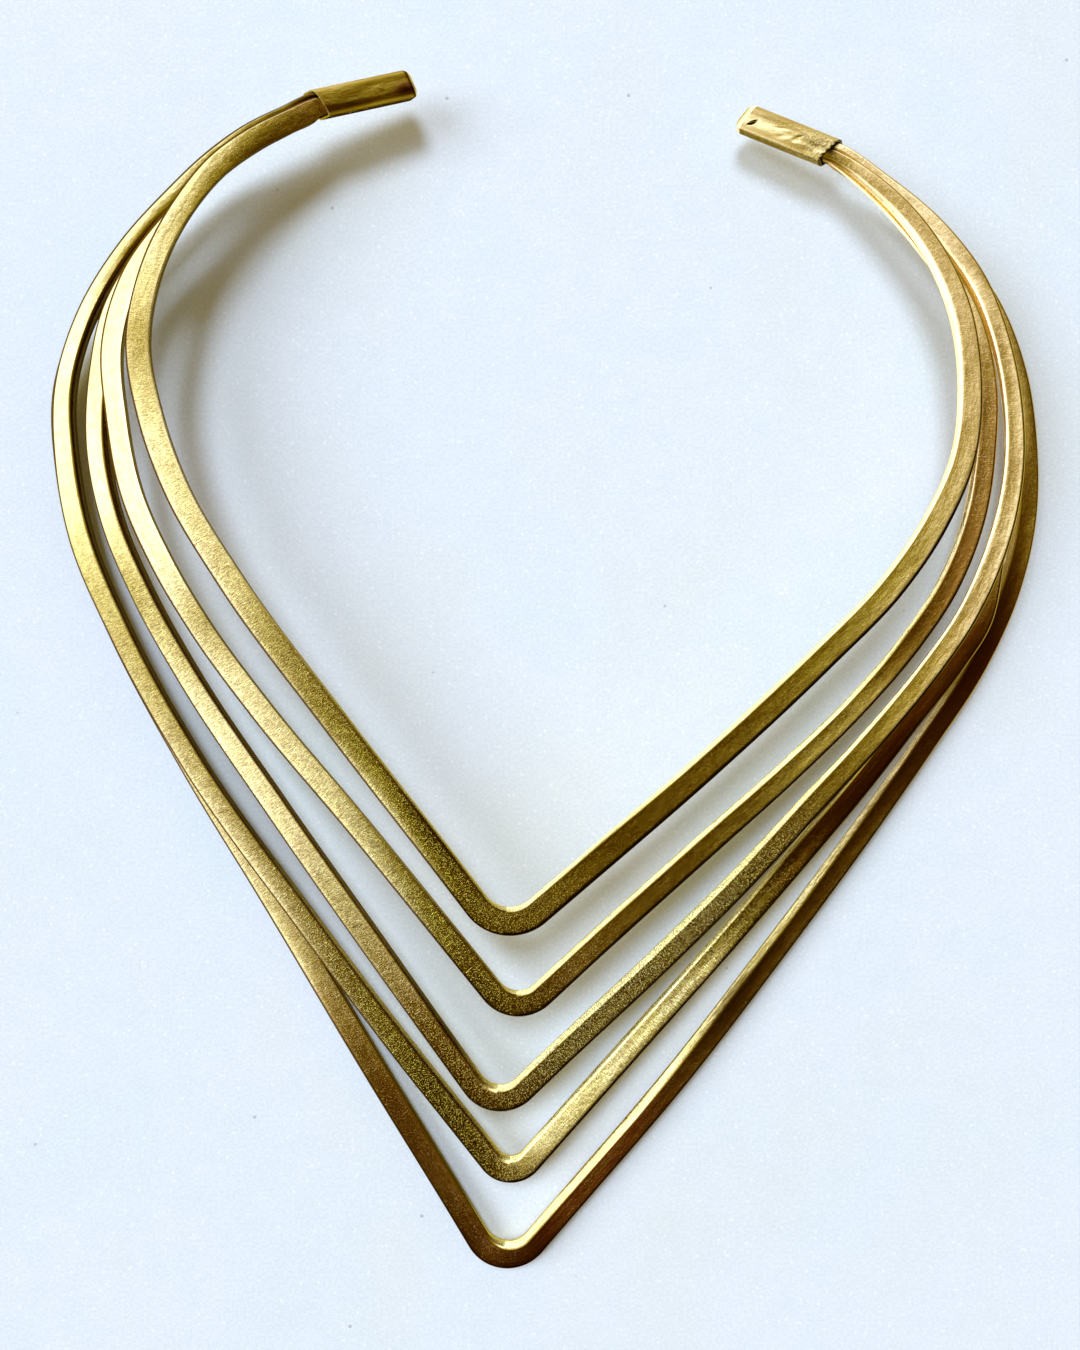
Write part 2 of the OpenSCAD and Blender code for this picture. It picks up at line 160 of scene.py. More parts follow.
second_right = sized([
    (6.6, -42.4, 9.4, 1.07, 1.00, -2),
    (26.3, -24.8, 8.9, 1.05, 1.00, -2),
    (37.7, -14.7, 8.5, 1.01, 1.00, -2),
    (48.7, -4.1, 8.0, 0.96, 1.00, 0),
    (56.2, 4.5, 7.7, 0.97, 1.00, 2),
    (62.5, 13.8, 7.4, 0.96, 1.00, 4),
    (66.6, 24.3, 7.2, 0.94, 1.00, 6),
    (68.3, 35.2, 7.0, 0.92, 0.97, 8),
    (68.6, 43.5, 7.0, 0.86, 0.85, 8)], WIRE_SIDE)
second_right += [
    under(inner_right, 7, 2.2, 0.6, 2.5, 1.9),
    under(inner_right, 8, 0.1, 0.1, 2.5, 1.3),
    under(inner_right, 9, -0.4, 0.05, 2.1, 1.0),
    seated(RIGHT_CAP, (-0.7, -0.05, 1.8, 0.8), -1.2)]

third_left = sized([
    (-13.2, -58.7, 6.9, 1.05, 1.00, 0),
    (-27.4, -38.7, 7.1, 1.10, 1.00, 0),
    (-40.6, -19.8, 7.3, 1.05, 1.00, 0),
    (-53.3, -0.7, 7.6, 1.00, 1.00, -2),
    (-60.7, 12.7, 7.8, 0.98, 1.00, -3),
    (-65.1, 23.3, 7.9, 0.94, 1.00, -3),
    (-67.3, 34.5, 8.0, 0.94, 1.00, -2),
    (-66.9, 45.7, 8.1, 0.94, 0.95, 0),
    (-65.1, 54.9, 8.2, 0.94, 0.80, 4),
    (-60.0, 63.7, 9.1, 0.88, 0.55, 12)], WIRE_SIDE)
third_left += [
    under(second_left, 9, 0.5, 0, 2.7, 1.3),
    under(second_left, 10, 0.1, 0, 2.6, 1.2),
    under(second_left, 11, 0, 0, 2.6, 1.0),
    under(second_left, 12, 0, 0, 2.6, 0.9),
    under(second_left, 13, 0, 0, 2.8, 0.85)]
third_right = sized([
    (0.9, -60.2, 6.8, 1.07, 1.00, -3),
    (19.9, -42.2, 7.2, 1.05, 1.00, -4),
    (30.7, -31.4, 7.5, 1.02, 1.00, -3),
    (41.1, -20.1, 7.8, 1.02, 1.00, 0),
    (51.4, -8.9, 7.9, 0.99, 1.00, 4),
    (58.6, -0.3, 7.9, 0.99, 1.00, 8),
    (65.0, 8.8, 7.9, 0.96, 1.00, 12),
    (69.6, 19.0, 7.9, 0.98, 1.00, 15),
    (72.2, 30.0, 7.9, 0.91, 1.00, 17),
    (72.2, 41.3, 7.9, 0.82, 0.97, 17),
    (69.9, 52.5, 7.9, 0.76, 0.92, 16),
    (67.1, 59.4, 7.9, 0.78, 0.85, 14),
    (61.2, 67.5, 7.9, 0.78, 0.66, 12),
    (52.8, 75.4, 7.9, 0.48, 0.50, 12)], WIRE_SIDE)

fourth_left = sized([
    (-12.2, -69.7, 4.5, 1.09, 1.00, 3),
    (-21.8, -57.5, 4.7, 1.08, 1.00, 3),
    (-35.8, -38.8, 4.9, 1.04, 1.00, 3),
    (-53.8, -13.6, 5.0, 1.03, 1.00, 3),
    (-65.1, 6.8, 5.0, 1.02, 1.00, 3),
    (-71.1, 21.2, 5.0, 1.06, 1.00, 3),
    (-73.3, 32.6, 5.0, 1.00, 1.00, 3),
    (-73.5, 44.2, 5.3, 0.88, 1.00, 5),
    (-69.8, 55.1, 6.5, 0.80, 0.95, 8),
    (-63.6, 64.8, 7.5, 0.72, 0.90, 12),
    (-55.9, 73.2, 7.9, 0.72, 0.87, 16),
    (-50.1, 78.6, 8.6, 0.55, 0.87, 19),
    (-43.6, 82.7, 10.0, 0.34, 0.80, 23),
    (-39.05, 85.03, 10.1, 0.24, 0.75, 24)], WIRE_SIDE)
fourth_right = sized([
    (-1.0, -75.0, 4.4, 1.08, 1.00, 4),
    (14.5, -57.5, 4.5, 1.05, 1.00, 3),
    (30.0, -40.0, 4.7, 1.02, 1.00, 2),
    (40.2, -28.1, 4.8, 1.02, 1.00, 1),
    (50.2, -16.1, 4.8, 1.02, 1.00, 0),
    (57.2, -7.1, 4.8, 1.00, 1.00, 0),
    (64.2, 1.7, 4.8, 0.98, 1.00, 2),
    (68.2, 7.8, 4.8, 0.97, 1.00, 6)], WIRE_SIDE)
fourth_right += [
    under(third_right, 7, 0.3, 0.1, 3.0, 3.0),
    under(third_right, 8, 0.3, 0.1, 2.8, 3.0),
    under(third_right, 9, 0.2, 0.1, 2.5, 2.8),
    under(third_right, 10, 0.1, 0.05, 2.3, 2.1),
    under(third_right, 11, 0, 0, 2.3, 1.6),
    under(third_right, 12, 0, 0, 2.2, 1.2),
    under(third_right, 13, 0, 0, 1.5, 1.0)]

outer_left = sized([
    lying(-12.4, -84.7, 1.12, 1.00, 8),
    lying(-26.4, -61.8, 1.15, 1.00, 10),
    lying(-42.7, -34.6, 1.08, 1.00, 8),
    lying(-54.9, -14.6, 1.04, 1.00, 3)], WIRE_SIDE)
outer_left += [
    under(fourth_left, 4, 1.0, 0.05, 3.1, 3.1),
    under(fourth_left, 5, 1.1, 0.05, 3.0, 3.1),
    under(fourth_left, 6, 1.4, 0.1, 2.8, 3.1),
    under(fourth_left, 7, 1.4, 0.1, 2.7, 2.8),
    under(fourth_left, 8, 0.8, 0.1, 2.6, 2.2),
    under(fourth_left, 9, 0.2, 0.05, 2.4, 1.6),
    under(fourth_left, 10, -0.3, 0.05, 2.3, 1.3),
    under(fourth_left, 11, -0.6, 0.05, 2.3, 1.15),
    under(fourth_left, 12, -1.1, 0.1, 2.6, 1.0)]
outer_right = sized([
    lying(2.9, -85.3, 1.00, 1.00, -8),
    lying(22.5, -62.3, 1.00, 1.00, -12),
    lying(37.0, -43.5, 0.97, 1.00, -10),
    lying(51.2, -24.4, 0.95, 1.00, -5),
    lying(60.4, -11.5, 0.93, 1.00, 0),
    lying(69.1, 1.9, 0.95, 1.00, 0),
    lying(74.0, 12.9, 0.95, 1.00, 0),
    lying(76.7, 24.5, 0.93, 1.00, 0),
    (76.7, 36.2, 1.9, 0.93, 1.00, 0),
    (74.8, 47.5, 2.6, 0.90, 0.95, 3),
    (70.5, 57.7, 3.6, 0.88, 0.75, 6),
    (62.8, 67.4, 4.6, 0.80, 0.45, 12)], WIRE_SIDE)
outer_right += [
    under(fourth_right, 14, -0.5, 0, 2.3, 0.9),
    seated(RIGHT_CAP, (-0.3, -0.98, 2.6, 0.8), -1.2)]

# Columns: left rows, front corner, right rows, then the seats in the two caps
# as outward, up, wide, thick
ROUTES = {
    "inner_wire": (inner_left, (-5.4, -39.2, 13.0), inner_right,
                   (-0.27, 1.65, 2.5, 1.25), (-0.5, 1.0, 1.65, 1.1)),
    "second_wire": (second_left, (-3.8, -52.0, 9.6), second_right,
                    (-0.27, 0.5, 2.5, 0.85), (-0.5, -0.05, 1.65, 0.8)),
    "third_wire": (third_left, (-6.8, -67.6, 6.8), third_right,
                   (-0.27, -0.45, 2.5, 0.85), (0.99, 1.0, 0.95, 1.1)),
    "fourth_wire": (fourth_left, (-4.7, -79.2, 4.4), fourth_right,
                    (1.35, 0.85, 0.5, 2.0), (0.97, -0.05, 0.9, 0.8)),
    "outer_wire": (outer_left, (-5.9, -95.5, outer_left[0][Z]), outer_right,
                   (0, -1.45, 2.9, 0.85), (0, -0.95, 2.6, 0.8)),
}

RING_STEP = 0.8
BEND_STEPS = 28


def curve(rows, first, last):
    """Smooth curve through the rows, about RING_STEP apart."""
    rows = [np.array(r, float) for r in rows]
    n = len(rows) - 1
    size = [np.linalg.norm((rows[i + 1] - rows[i])[:3]) for i in range(n)]

    def slope(i):
        if i == 0:
            return np.array([*first, 0, 0, 0])
        if i == n:
            return np.array([*last, 0, 0, 0])
        a, b = size[i - 1], size[i]
        return ((rows[i] - rows[i - 1]) * b / a + (rows[i + 1] - rows[i]) * a / b) / (a + b)

    out = []
    for i in range(n):
        a, b = slope(i) * size[i], slope(i + 1) * size[i]
        steps = max(2, round(size[i] / RING_STEP))
        for t in np.arange(steps) / steps:
            out.append(rows[i] * (2 * t**3 - 3 * t**2 + 1) + a * (t**3 - 2 * t**2 + t)
                       + rows[i + 1] * (3 * t**2 - 2 * t**3) + b * (t**3 - t**2))
    out.append(rows[n])
    return out


def route(name):
    """Rows of a wire's middle line, and the length along it where the front bend is."""
    left, corner, right, left_seat, right_seat = ROUTES[name]
    bend = BENDS[name]
    corner = np.array(corner)
    l_dir = unit(np.array(left[0][:3]) - corner)
    r_dir = unit(np.array(right[0][:3]) - corner)
    half = math.acos(l_dir @ r_dir) / 2
    run = bend / math.tan(half)
    hub = corner + unit(l_dir + r_dir) * bend / math.sin(half)
    start = corner + l_dir * run - hub
    stop = corner + r_dir * run - hub
    sweep = math.pi - 2 * half
    bend_rows = []
    for j in range(BEND_STEPS + 1):
        t = j / BEND_STEPS
        p = hub + (start * math.sin((1 - t) * sweep) + stop * math.sin(t * sweep)) / math.sin(sweep)
        mix = np.array(left[0]) * (1 - t) + np.array(right[0]) * t
        bend_rows.append(np.array([*p, *mix[3:]]))
    l_along = unit(np.array(LEFT_CAP[MOUTH]) - np.array(LEFT_CAP[END]))
    r_along = unit(np.array(RIGHT_CAP[END]) - np.array(RIGHT_CAP[MOUTH]))
    l_rows = [seated(LEFT_CAP, left_seat, 0), *left[::-1], bend_rows[0]]
    r_rows = [bend_rows[-1], *right, seated(RIGHT_CAP, right_seat, 0)]
    l_curve = curve(l_rows, l_along, -l_dir)
    rows = ([np.array(seated(LEFT_CAP, left_seat, SEAT))] + l_curve + bend_rows[1:-1]
            + curve(r_rows, r_dir, r_along)
            + [np.array(seated(RIGHT_CAP, right_seat, SEAT))])
    return np.array(rows), len(l_curve) + BEND_STEPS // 2


CORNER_STEPS = 4
FACE_STEPS = 8
CROWN = 1               # degrees that each face turns away at its edges


def section(wide, thick, r):
    """Rounded rectangle points, each with its corner share (0 on a flat, 1 in the
    middle of a corner) and the way it faces."""
    out = []
    corners = ((1, 1, 0, wide), (-1, 1, 90, thick), (-1, -1, 180, wide), (1, -1, 270, thick))
    for sx, sy, start, flat in corners:
        for k in range(CORNER_STEPS + 1):
            a = math.radians(start + 90 * k / CORNER_STEPS)
            b = math.radians(start + CROWN + (90 - 2 * CROWN) * k / CORNER_STEPS)
            out.append((sx * (wide / 2 - r) + r * math.cos(a), sy * (thick / 2 - r) + r * math.sin(a),
                        math.sin(math.pi * k / CORNER_STEPS), math.cos(b), math.sin(b)))
        x, y = out[-1][:2]
        a = math.radians(start + 180)
        for k in range(1, FACE_STEPS):
            run = (flat - 2 * r) * k / FACE_STEPS
            b = math.radians(start + 90 + CROWN * (2 * k / FACE_STEPS - 1))
            out.append((x + run * math.cos(a), y + run * math.sin(a), 0, math.cos(b), math.sin(b)))
    return np.array(out)


def wire_rings(name):
    """Rings of points round a wire, the way each point faces, and its marks: length
    along from the front bend, across, up, corner share and outward facing share."""
    rows, apex = route(name)
    n = len(rows) - 1
    rings, facing, marks = [], [], []
    lengths = np.concatenate([[0], np.cumsum(np.linalg.norm(np.diff(rows[:, :3], axis=0), axis=1))])
    for i, r in enumerate(rows):
        along = unit(rows[min(i + 1, n)][:3] - rows[max(i - 1, 0)][:3])
        side = unit(np.array([along[1], -along[0], 0]))
        up = np.cross(side, along)
        a = math.radians(r[ROLL])
        u = side * math.cos(a) + up * math.sin(a)
        v = up * math.cos(a) - side * math.sin(a)
        # side points outward on both sides, so the roll keeps its sense
        s = section(r[WIDE], r[THICK], min(EDGE_R, ROUND_SHARE * r[WIDE], ROUND_SHARE * r[THICK]))
        rings.append([r[:3] + u * q[0] + v * q[1] for q in s])
        facing.append([u * q[3] + v * q[4] for q in s])
        marks.append([(lengths[i] - lengths[apex], q[0], q[1], q[2], q[3]) for q in s])
    return np.array(rings), np.array(facing), np.array(marks)


def skin(name, rings, facing, marks, tones):
    """Mesh object from rings of equal count, closed at both ends. facing holds the
    normals; marks holds the length along, across and up in millimetres, the
    corner share and the outward facing share; tones holds named shares for each point."""
    count, n = rings.shape[:2]
    verts = ((rings.reshape(-1, 3) + PLACE) * MM).tolist()
    faces = [[i * n + j, (i + 1) * n + j, (i + 1) * n + (j + 1) % n, i * n + (j + 1) % n]
             for i in range(count - 1) for j in range(n)]
    faces += [list(range(n)), [(count - 1) * n + j for j in range(n - 1, -1, -1)]]
    mesh = bpy.data.meshes.new(name)
    mesh.from_pydata(verts, [], faces)
    mesh.polygons.foreach_set("use_smooth", [True] * (len(faces) - 2) + [False] * 2)
    mesh.update()
    normals = facing.reshape(-1, 3)[[v for face in faces for v in face]]
    normals[-2 * n:-n] = mesh.polygons[-2].normal
    normals[-n:] = mesh.polygons[-1].normal
    mesh.normals_split_custom_set(normals.tolist())
    flat = marks.reshape(-1, marks.shape[-1]).astype(np.float32)
    layer = mesh.attributes.new("straight", "FLOAT_VECTOR", "POINT")
    layer.data.foreach_set("vector", flat[:, :3].ravel())
    for attribute, values in {"corner": flat[:, 3], **tones}.items():
        layer = mesh.attributes.new(attribute, "FLOAT", "POINT")
        layer.data.foreach_set("value", np.asarray(values, np.float32).ravel())
    obj = bpy.data.objects.new(name, mesh)
    bpy.context.collection.objects.link(obj)
    return obj


class Nodes:
    """Short calls that add shader nodes to one tree and link them."""

    def __init__(self, tree):
        self.tree = tree

    def add(self, kind, inputs=None, **settings):
        node = self.tree.nodes.new("ShaderNode" + kind)
        for key, value in settings.items():
            setattr(node, key, value)
        for key, value in (inputs or {}).items():
            self.put(node.inputs[key], value)
        return node

    def put(self, socket, value):
        if isinstance(value, bpy.types.NodeSocket):
            self.tree.links.new(value, socket)
        elif isinstance(value, bpy.types.Node):
            self.tree.links.new(value.outputs[0], socket)
        else:
            socket.default_value = value

    def math(self, operation, a, b=0.0, clamp=False):
        return self.add("Math", {0: a, 1: b}, operation=operation, use_clamp=clamp).outputs[0]

    def total(self, parts):
        """Sum of values, each times its own number or value."""
        out = None
        for value, times in parts:
            term = self.math("MULTIPLY", value, times)
            out = term if out is None else self.math("ADD", out, term)
        return out

    def mix(self, factor, a, b, blend="MIX"):
        node = self.add("Mix", {0: factor, 6: a, 7: b}, data_type="RGBA", blend_type=blend)
        return node.outputs[2]

    def ramp(self, value, stops):
        node = self.add("ValToRGB", {0: value})
        elements = node.color_ramp.elements
        for k, (place, color) in enumerate(stops):
            element = elements[k] if k < 2 else elements.new(place)
            element.position = place
            element.color = (*color, 1) if len(color) == 3 else color
        return node.outputs[0]

    def noise(self, vector, scale, detail=2.0, roughness=0.5):
        return self.add("TexNoise", {"Vector": vector, "Scale": scale, "Detail": detail,
                                     "Roughness": roughness}).outputs[0]

    def mapping(self, vector, scale=(1, 1, 1), rotation=(0, 0, 0), location=(0, 0, 0)):
        return self.add("Mapping", {"Vector": vector, "Scale": scale, "Rotation": rotation,
                                    "Location": location}).outputs[0]

    def span(self, value, low, high, out_low=0.0, out_high=1.0):
        return self.add("MapRange", {"Value": value, "From Min": low, "From Max": high,
                                     "To Min": out_low, "To Max": out_high}).outputs[0]


PIECE_SHIFT = 37.0      # how far each piece's pattern is from the next


def brass(name, seed):
    """Brushed brass: speckled grain, short scratches, blotches, reddish brown patches and painted shade."""
    mat = bpy.data.materials.new(name)
    mat.use_nodes = True
    nd = Nodes(mat.node_tree)
    shader = mat.node_tree.nodes["Principled BSDF"]
    straight = nd.add("Attribute", attribute_name="straight").outputs["Vector"]
    red, dark, worn, corner, rosy, olive = (nd.add("Attribute", attribute_name=a).outputs["Fac"]
                                            for a in ("red", "dark", "worn", "corner", "rosy", "olive"))
    shifted = nd.mapping(straight, location=(seed * PIECE_SHIFT, 0, 0))

    def slanted(scale, degrees, location=(0, 0, 0)):
        return nd.mapping(shifted, scale, (0, 0, math.radians(degrees)), location)

    grain = nd.noise(shifted, 3.4, 3.5, 0.72)
    glints = nd.noise(slanted((1.4, 1, 1), 35, (5, 5, 5)), 4.4, 2.0, 0.7)
    blotch = nd.noise(nd.mapping(shifted, (0.7, 0.9, 0.9)), 1.0, 3.0, 0.6)
    cloud = nd.noise(nd.mapping(shifted, (0.12, 0.3, 0.3)), 1.0, 3.0)
    brushed = nd.noise(slanted((0.5, 3.2, 3.2), -38), 1.0, 2.0, 0.6)
    streaks = nd.noise(nd.mapping(shifted, (0.10, 3.6, 3.6), location=(0, 9, 9)), 1.0, 2.0, 0.6)
    across = nd.noise(slanted((3.4, 0.5, 0.5), -14, (3, 1, 0)), 1.0, 1.0)
    scratch = nd.span(across, 0.71, 0.75)
    strokes = nd.noise(slanted((1.7, 0.5, 0.5), -22, (2, 2, 2)), 2.8, 3.0, 0.75)
    patchy = nd.math("ADD", nd.span(cloud, 0.3, 0.7, -0.15, 0.25), nd.span(blotch, 0.35, 0.65, -0.2, 0.3))
    patchy = nd.math("ADD", patchy, nd.span(grain, 0.35, 0.65, -0.2, 0.3), True)
    # Edges are rubbed bright
    patchy = nd.math("MULTIPLY", patchy, nd.span(corner, 0.0, 0.6, 1.0, 0.1))
    color = nd.mix(patchy, (0.96, 0.74, 0.16, 1), (0.62, 0.42, 0.07, 1))
    # Greenish gold in places, olive as painted shade where the face leans away from the window, and rosier
    # toward the back
    greenish = nd.math("MULTIPLY", nd.span(cloud, 0.60, 0.40, 0.0, 0.6), nd.math("SUBTRACT", 1.0, rosy))
    color = nd.mix(greenish, color, (0.86, 0.84, 0.60, 1), "MULTIPLY")
    color = nd.mix(olive, color, (1.0, 0.98, 0.40, 1), "MULTIPLY")
    color = nd.mix(rosy, color, (0.97, 0.88, 1.0, 1), "MULTIPLY")
    # Slanted flecks where worn, and streaks along the wire where it reddens
    flecks = nd.span(strokes, 0.38, 0.62, -0.34, 0.34)
    color = nd.mix(1.0, color, nd.math("ADD", nd.math("MULTIPLY", flecks, worn), 1.0), "MULTIPLY")
    reddened = nd.math("MULTIPLY", red, nd.span(streaks, 0.35, 0.65, 0.6, 1.3), True)
    color = nd.mix(reddened, color, (0.60, 0.17, 0.04, 1))
    # Painted shade where the dark tone is set: inner sides, outer edges, the caps' mouths and bores and the
    # right cap's slit; it also darkens spots on the left cap
    color = nd.mix(dark, color, (0.07, 0.03, 0.004, 1))
    nd.put(shader.inputs["Base Color"], color)
    shader.inputs["Specular Tint"].default_value = (0.75, 0.52, 0.16, 1)
    shader.inputs["Metallic"].default_value = 1.0
    nd.put(shader.inputs["Roughness"], nd.math("ADD", nd.span(grain, 0.3, 0.7, 0.13, 0.19),
                                               nd.math("MULTIPLY", corner, -0.03)))
    # Heights in millimetres: speckle and scratches where worn, fine hatching elsewhere
    speckle = nd.total(((grain, 0.022), (nd.span(glints, 0.58, 0.70), 0.03), (strokes, 0.03),
                        (scratch, -0.02)))
    height = nd.total(((speckle, worn), (brushed, 0.012), (blotch, 0.036), (cloud, 0.15)))
    smooth = nd.span(corner, 0.0, 1.0, 1.0, 0.2)
    bump = nd.add("Bump", {"Strength": smooth, "Distance": MM, "Height": height})
    # Light on its way to the floor meets the plain sides
    plain = nd.add("NewGeometry").outputs["True Normal"]
    to_floor = nd.add("LightPath").outputs["Is Diffuse Ray"]
    normal = nd.add("Mix", {0: to_floor, 4: bump, 5: plain}, data_type="VECTOR")
    nd.put(shader.inputs["Normal"], normal.outputs[1])
    return mat


# How the top faces lean and redden. Columns: millimetres along the wire from its
# front bend, lean toward the window in degrees at the face's inner and outer edge,
# and how reddish brown the top face is
SURFACES = {
    "inner_wire": (
        (-150, 3, 6, 0.3), (-140, -6, 12, 0), (-128, -2, 11, 0), (-116, 2, 5, 0), (-104, -4, -3, 0),
        (-88, 0, 4, 0), (-65, -1, 2, 0), (-52, -6, -2, 0), (-40, -8, -3, 0), (-28, -10, 6, 0),
        (-17, -20, 5, 0), (-4, -5, -8, 0), (8, -2, -4, 0), (20, -9, -2, 0), (35, -4, -1, 0),
        (50, -5, 2, 0), (65, -2, 5, 0), (90, 0, 4, 0), (111, -4, 0, 0), (124, -2, -2, 0),
        (137, -3, -4, 0), (150, -11, -6, 0)),
    "second_wire": (
        (-168, 1, 5, 0.3), (-159, -5, 5, 0), (-150, 6, 8, 0), (-135, 7, 11, 0), (-115, 4, 7, 0),
        (-88, 6, 8, 0), (-75, -3, 1, 0), (-65, 3, 7, 0), (-44, 4, 8, 0), (-28, -3, 7, 0),
        (-16, -7, -3, 0), (-3, -4, -13, 0), (10, 0, 4, 0.2), (35, -3, 0, 0), (58, 0, 11, 0),
        (71, -2, 10, 0.1), (83, -13, 4, 0.4), (97, -7, 1, 0.5), (120, -10, -1, 0.3),
        (134, 9, 2, 0), (144, 8, 6, 0), (153, 6, 1, 0), (163, 6, -7, 0)),
    "third_wire": (
        (-184, 2, 5, 0.3), (-174, -1, 2, 0), (-165, 7, 7, 0), (-155, 12, 11, 0), (-143, 10, 8, 0),
        (-133, 2, 1, 0), (-110, 2, 5, 0), (-96, -1, -5, 0), (-84, -2, 5, 0), (-70, 5, 11, 0),
        (-52, 5, 9, 0), (-38, 4, 4, 0), (-23, 4, 0, 0.2), (-13, -3, -7, 0.3), (-3, 2, -12, 0.2),
        (8, 2, 1, 0), (18, 2, 7, 0), (34, 4, 5, 0), (49, 3, -2, 0), (61, -1, 2, 0),
        (85, -3, 4, 0), (108, -6, 1, 0), (125, -10, 0, 0), (145, -8, 3, 0), (157, 6, -2, 0),
        (170, 5, 6, 0)),
    "fourth_wire": (
        (-203, -2, 4, 0), (-190, 11, 8, 0), (-172, -12, 17, 0), (-160, 3, 12, 0), (-147, 11, 11, 0),
        (-130, 3, 5, 0), (-111, -1, -2, 0), (-99, -3, 0, 0), (-75, -2, 6, 0), (-58, -4, 9, 0),
        (-42, -4, 0, 0), (-29, -5, -1, 0), (-17, -6, -12, 0), (-5, -1, -8, 0.1), (7, 13, 8, 0),
        (20, 14, 7, 0), (33, 12, 4, 0), (44, 3, 10, 0), (57, -5, -12, 0), (66, -20, -1, 0.3),
        (80, -7, -16, 0.8), (96, -2, -12, 0.7), (109, -4, -17, 0.7), (120, -4, -6, 0.1),
        (134, -11, -1, 0), (147, -17, -5, 0), (156, -4, 0, 0), (165, -2, 7, 0), (175, 2, 14, 0),
        (187, 3, 7, 0)),
    "outer_wire": (
        (-216, -5, 6, 0.2), (-207, -2, 11, 0), (-197, 9, 14, 0), (-184, 3, 3, 0), (-171, 1, 12, 0),
        (-158, 11, 11, 0), (-145, 4, 6, 0), (-130, 2, 2, 0), (-117, -4, -6, 0), (-107, -4, 5, 0),
        (-85, 2, 4, 0), (-72, 5, 7, 0), (-57, 0, 10, 0), (-45, 2, 1, 0.2), (-31, 0, -6, 0.5),
        (-12, 4, -4, 0.4), (1, 3, -5, 0.8), (13, 11, 13, 0.9), (31, 16, 11, 0.8), (43, 4, 15, 0.3),
        (55, -10, 14, 0.1), (70, -3, 12, 0.1), (90, -11, 9, 0), (99, -15, -2, 0.3), (112, -18, -9, 0.6),
        (125, -24, -7, 0.8), (138, -14, 4, 0.1), (150, -4, 0, 0), (160, 12, -7, 0),
        (172, 9, 0, 0), (186, 9, 7, 0), (205, 6, 6, 0)),
}
TOWARD_WINDOW = np.array([-0.51, 0.86, 0])
# Millimetres along each wire, and how speckled and scratched it is there
WEAR = {
    "inner_wire": ((-140, -105, -70, -20, 0, 20, 100), (0.3, 0.6, 1.1, 1.2, 0.8, 0.4, 0.25)),
    "second_wire": ((-140, -95, -80, -20, 0, 20, 100), (0.1, 0.3, 1.0, 1.2, 0.7, 0.35, 0.4)),
    "third_wire": ((-110, -95, -20, 0, 12, 50, 70), (0.1, 1.1, 1.0, 0.8, 1.5, 1.4, 0.3)),
    "fourth_wire": ((-125, -110, -60, -15, 0, 50, 75), (0.1, 0.8, 1.0, 1.2, 0.9, 1.3, 0.3)),
    "outer_wire": ((-135, -120, -60, -40, 0, 50, 130), (0.1, 0.8, 0.8, 0.4, 0.4, 0.4, 0.3)),
}
# Millimetres along, and how rosy the brass is
ROSY = ((-130, -100, -50, -30, 70, 105), (0, 0.4, 0.4, 0, 0, 0.9))
# Each inner side is shaded as rounded off above this share of its height, on the left and right
# arm, and darkened below it with painted shade
FOLD = {"inner_wire": (0.5, 0.2), "second_wire": (0.8, 0.2), "third_wire": (1, 0.2),
        "fourth_wire": (1, 0.25), "outer_wire": (0.9, 0.25)}
# How far the fold has turned up, at shares of the height from its start
LEFT_TURN = ((0, 0.1), (0, 1))
RIGHT_TURN = ((-0.03, 0), (0, 0.5))
# Painted shade on the inner sides: left arm, left arm near the front, right arm
SIDE_SHADE = {"inner_wire": (0.9, 0.3, 0), "second_wire": (0.85, 0.7, 0), "third_wire": (0.95, 0.9, 0),
                "fourth_wire": (0.95, 0.5, 0.1), "outer_wire": (0.95, 0.8, 0.15)}
# Millimetres along, and how far the outer and the inner edge lean more toward the window
OUTER_EDGE = ((-95, -75, -20, -8), (0, 7, 7, 0))
INNER_EDGE = ((100, 120, 148, 158), (0, 10, 10, 3))
PLAIN_EDGES = ("fourth_wire", "outer_wire")
# Millimetres along, and how far the middle of the top leans more toward the window
CROWNS = {
    "second_wire": ((144, 153, 163, 170), (0, 3, 4, 0)),
    "fourth_wire": ((-185, -172, -160, -15, -5, 5, 20, 33, 44, 57, 66, 76),
                    (0, 4, 0, 0, -4, 0, 3, 6, 5, 9, 8, 0)),
}
CROWN_SHARE = 0.18      # of the width
# Millimetres along, and how dark the painted shade on the outer edge is
OUTER_SHADE = ((90, 118), (1, 0.1))
MOUTH_REACH = 12        # millimetres round the right cap's mouth


def mouth_depth(cap, points):
    """Depth of points inside the mouth of a cap, in millimetres."""
    along, u, v = cap_frame(cap)
    away = points - np.array(cap[MOUTH])
    return away @ along - cap[OUT_SLANT] * (away @ u) - cap[UP_SLANT] * (away @ v)


def normalized(vectors):
    return vectors / np.linalg.norm(vectors, axis=-1, keepdims=True)


def dress(name, rings, facing, marks, tones):
    """Brass piece that takes the place of the solid of that name."""
    obj = skin("fine_" + name, rings, facing, marks, tones)
    obj.data.materials.append(brass("brass_" + name, len(bpy.data.materials)))
    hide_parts(name)
    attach(obj, "root")


